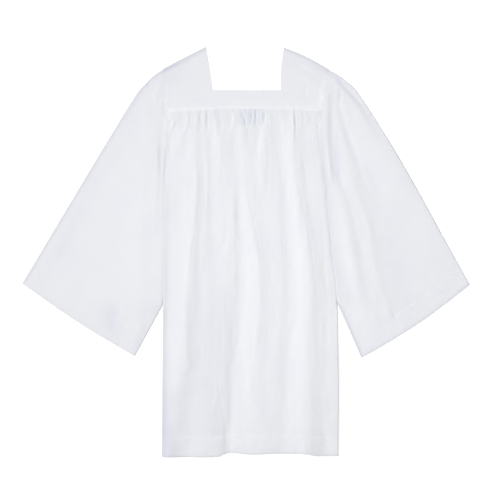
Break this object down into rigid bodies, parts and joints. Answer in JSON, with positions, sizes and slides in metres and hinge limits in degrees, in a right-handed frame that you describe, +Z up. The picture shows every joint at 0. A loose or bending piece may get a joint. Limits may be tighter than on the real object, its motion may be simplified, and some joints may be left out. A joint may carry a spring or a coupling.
{
  "type": "surplice",
  "caption": "Plain white surplice laid flat: square neck in a narrow yoke, front gathered below it, wide straight sleeves swung down beside a straight body.",
  "frame": {"origin": "middle of the garment's outline, on the surface that it lies on", "axes": "+X across the shoulders to the right of the picture, +Y from hem to neck, +Z up from the surface"},
  "size_m": [0.9952, 0.9117, 0.0144],
  "materials": {
    "cloth": "plain woven white cotton and polyester, matte",
    "label": "bare woven tape, slight sheen"
  },
  "bodies": {
    "root": {"body_back": "cloth", "body_front": "cloth", "yoke_band_back": "cloth", "yoke_band_front": "cloth", "strap_left": "cloth", "strap_right": "cloth", "sleeve_left": "cloth", "sleeve_right": "cloth", "label": "label"}
  },
  "joints": []
}
